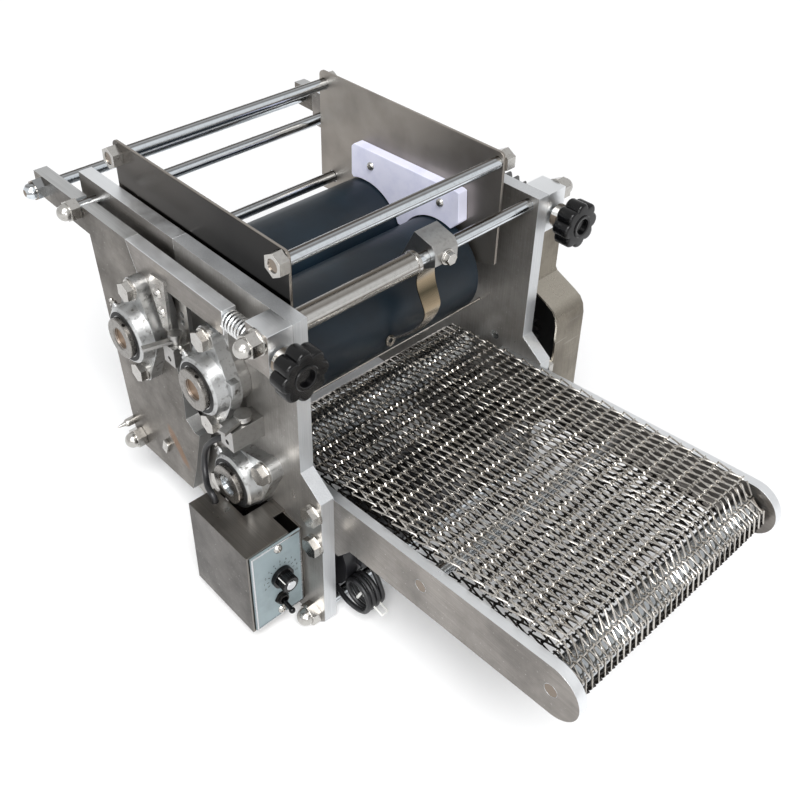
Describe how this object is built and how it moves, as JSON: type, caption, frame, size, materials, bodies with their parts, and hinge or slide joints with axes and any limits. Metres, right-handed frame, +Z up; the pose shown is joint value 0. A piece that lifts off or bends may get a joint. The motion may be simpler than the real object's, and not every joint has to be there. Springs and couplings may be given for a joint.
{
  "type": "roller tortilla machine",
  "caption": "Table-top roller tortilla machine with two coated sheeting rollers, hopper plates, star knob gap adjusters, a wire mesh discharge conveyor and a speed control box.",
  "frame": {"origin": "on the table, midway between the side plates, below their front edge", "axes": "+X to the drive side, +Y to the rear, away from the conveyor, +Z up"},
  "size_m": [0.425, 0.6685, 0.384],
  "materials": {
    "steel_plate": "satin",
    "steel_bright": "polished",
    "steel_dark": "satin",
    "cast": "satin",
    "nuts": "polished",
    "coated_roller": "satin",
    "white_plastic": "satin",
    "black_plastic": "satin",
    "mesh": "polished",
    "gear_steel": "satin",
    "motor_paint": "satin",
    "panel": "matte",
    "rubber": "matte"
  },
  "bodies": {
    "frame": {"side_plate_left": "steel_plate", "side_plate_right": "steel_plate", "rear_rail_left": "steel_plate", "rear_rail_right": "steel_plate", "adjuster_blocks": "steel_plate", "hopper_plates": "steel_plate", "dough_stops": "white_plastic", "small_screws": "nuts", "cross_rod": "steel_bright", "cross_sleeve": "steel_bright", "tie_rods": "steel_bright", "frame_nuts": "nuts", "clamp_block": "steel_plate", "pressure_strip": "steel_plate", "clamp_bolt": "nuts", "stripper_wire": "steel_bright", "wire_block_front": "steel_dark", "frame_bearings": "cast", "bearing_spacer": "steel_dark", "frame_bolts": "nuts", "conveyor_bar_left": "steel_plate", "conveyor_bar_right": "steel_plate", "mesh_belt": "mesh", "conveyor_rods": "steel_bright", "control_box": "steel_plate", "control_panel": "panel", "cables": "rubber", "gear_guard": "steel_plate", "motor": "motor_paint", "motor_flange": "steel_dark", "drive_belt": "rubber", "springs": "steel_bright"},
    "front_roller_body": {"front_roller": "coated_roller", "front_gear": "gear_steel", "front_big_gear": "gear_steel"},
    "rear_roller_body": {"rear_roller": "coated_roller", "rear_gear": "gear_steel"},
    "carriage": {"carriage_plate_left": "steel_plate", "carriage_plate_right": "steel_plate", "carriage_bars": "steel_plate", "carriage_rod": "steel_bright", "rear_bearings": "cast", "rear_bolts": "nuts", "guide_strip": "steel_plate", "wire_block_rear": "steel_dark"},
    "conveyor_shaft": {"conveyor_roller": "steel_dark", "conveyor_gear": "gear_steel", "conveyor_pulley": "gear_steel"},
    "conveyor_end": {"end_roller": "steel_dark"},
    "motor_shaft": {"motor_pulley": "gear_steel"},
    "adjuster_left": {"adjuster_screw_left": "steel_bright", "knob_left": "black_plastic"},
    "adjuster_right": {"adjuster_screw_right": "steel_bright", "knob_right": "black_plastic"},
    "dial": {"speed_dial": "black_plastic"},
    "toggle": {"toggle_lever": "black_plastic"},
    "front_peg": {"peg_front": "steel_dark"},
    "rear_peg": {"peg_rear": "steel_dark"}
  },
  "joints": [
    {"name": "front_roller_turn", "type": "hinge", "parent": "frame", "child": "front_roller_body", "pos_m": [0, 0.088, 0.242], "axis": [1, 0, 0], "continuous": true},
    {"name": "carriage_slide", "type": "slide", "parent": "frame", "child": "carriage", "axis": [0, 1, 0], "range_m": [0, 0.003], "deforming": ["springs"]},
    {"name": "rear_roller_turn", "type": "hinge", "parent": "carriage", "child": "rear_roller_body", "pos_m": [0, 0.1896, 0.242], "axis": [1, 0, 0], "continuous": true},
    {"name": "conveyor_shaft_turn", "type": "hinge", "parent": "frame", "child": "conveyor_shaft", "pos_m": [0, 0.07, 0.13556], "axis": [1, 0, 0], "continuous": true},
    {"name": "conveyor_end_turn", "type": "hinge", "parent": "frame", "child": "conveyor_end", "pos_m": [0, -0.263, 0.154], "axis": [1, 0, 0], "continuous": true},
    {"name": "motor_shaft_turn", "type": "hinge", "parent": "frame", "child": "motor_shaft", "pos_m": [0, 0.008, 0.06], "axis": [1, 0, 0], "continuous": true},
    {"name": "left_knob_turn", "type": "hinge", "parent": "frame", "child": "adjuster_left", "pos_m": [-0.162, 0, 0.313], "axis": [0, 1, 0], "range_deg": [0, 720]},
    {"name": "right_knob_turn", "type": "hinge", "parent": "frame", "child": "adjuster_right", "pos_m": [0.162, 0, 0.313], "axis": [0, 1, 0], "range_deg": [0, 720]},
    {"name": "speed_dial_turn", "type": "hinge", "parent": "frame", "child": "dial", "pos_m": [-0.176, 0, 0.072], "axis": [0, 1, 0], "range_deg": [0, 270]},
    {"name": "toggle_flip", "type": "hinge", "parent": "frame", "child": "toggle", "pos_m": [-0.1772, 0.007, 0.043], "axis": [1, 0, 0], "range_deg": [-24, 0]},
    {"name": "front_peg_turn", "type": "hinge", "parent": "frame", "child": "front_peg", "pos_m": [-0.16385, 0.057, 0.203], "axis": [0, 0, 1], "range_deg": [-10, 10]},
    {"name": "rear_peg_turn", "type": "hinge", "parent": "carriage", "child": "rear_peg", "pos_m": [-0.1715, 0.1405, 0.242], "axis": [0, 0, 1], "range_deg": [-10, 10]}
  ],
  "couplings": [
    {"joint": "rear_roller_turn", "follows": "front_roller_turn", "ratio": -1},
    {"joint": "conveyor_shaft_turn", "follows": "front_roller_turn", "ratio": -1.4286},
    {"joint": "conveyor_end_turn", "follows": "front_roller_turn", "ratio": -2.2167},
    {"joint": "motor_shaft_turn", "follows": "front_roller_turn", "ratio": -2.381},
    {"joint": "left_knob_turn", "follows": "carriage_slide", "rad_per_m": 4188.8},
    {"joint": "right_knob_turn", "follows": "carriage_slide", "rad_per_m": 4188.8}
  ]
}
